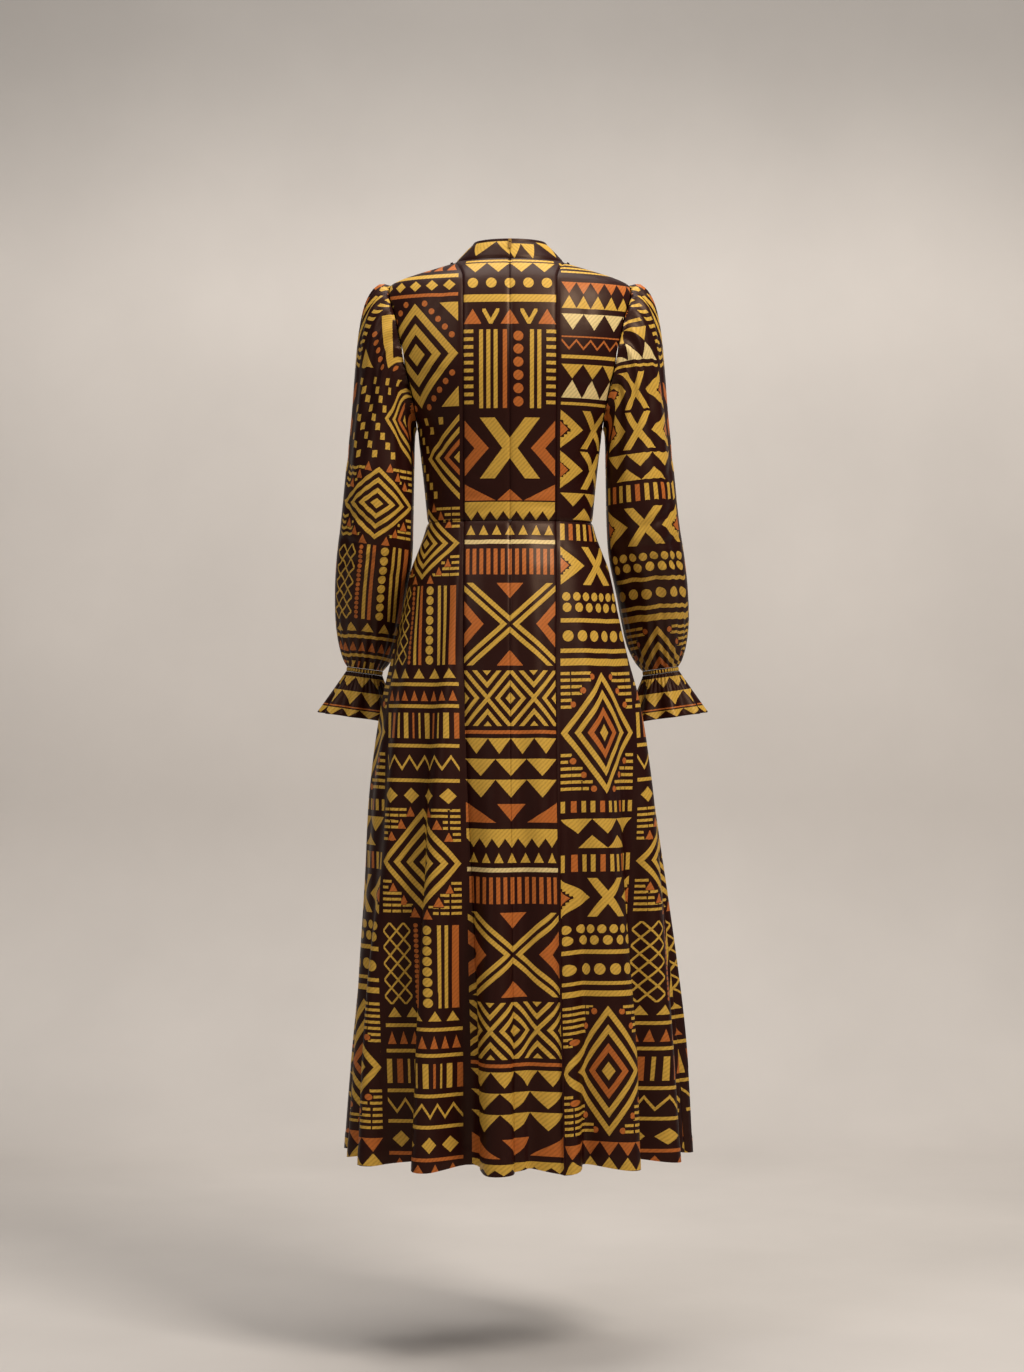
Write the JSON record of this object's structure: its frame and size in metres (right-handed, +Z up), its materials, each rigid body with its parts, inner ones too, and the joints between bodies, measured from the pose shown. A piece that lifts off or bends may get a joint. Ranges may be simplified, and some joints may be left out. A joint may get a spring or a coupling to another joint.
{
  "type": "worn puff sleeve dress",
  "caption": "Ankle-length printed dress with a funnel collar, back zip, gathered puff sleeves, elastic cuffs with flared ruffles and a flared skirt, worn and hollow.",
  "frame": {"origin": "midway between the two shoulder seams, where the wearer's shoulders hold the dress up", "axes": "+Z up along the dress, +X towards the wearer's left, -Y towards the front; the zip is on the +Y side"},
  "size_m": [0.5844, 0.4039, 1.3198],
  "materials": {
    "printed_cloth": "softly shining crepe satin with a printed geometric patchwork in gold and orange on dark brown",
    "zip_metal": "small polished slider and pull",
    "zip_coil": "dark nylon coil on the inside of the seam"
  },
  "bodies": {
    "dress": {"bodice_centre_back_left": "printed_cloth", "bodice_centre_back_right": "printed_cloth", "bodice_side_back_left": "printed_cloth", "bodice_side_back_right": "printed_cloth", "bodice_front": "printed_cloth", "skirt_centre_back_left": "printed_cloth", "skirt_centre_back_right": "printed_cloth", "skirt_side_back_left": "printed_cloth", "skirt_side_back_right": "printed_cloth", "skirt_front": "printed_cloth", "sleeve_left": "printed_cloth", "sleeve_right": "printed_cloth", "cuff_band_left": "printed_cloth", "cuff_band_right": "printed_cloth", "cuff_ruffle_left": "printed_cloth", "cuff_ruffle_right": "printed_cloth", "collar": "printed_cloth", "zip_coil": "zip_coil", "zip_slider": "zip_metal"},
    "zip_pull": {"zip_pull": "zip_metal"}
  },
  "joints": [
    {"name": "zip_pull_swing", "type": "hinge", "parent": "dress", "child": "zip_pull", "pos_m": [0, 0.05211, 0.04251], "axis": [1, 0, 0], "range_deg": [0, 150]}
  ]
}
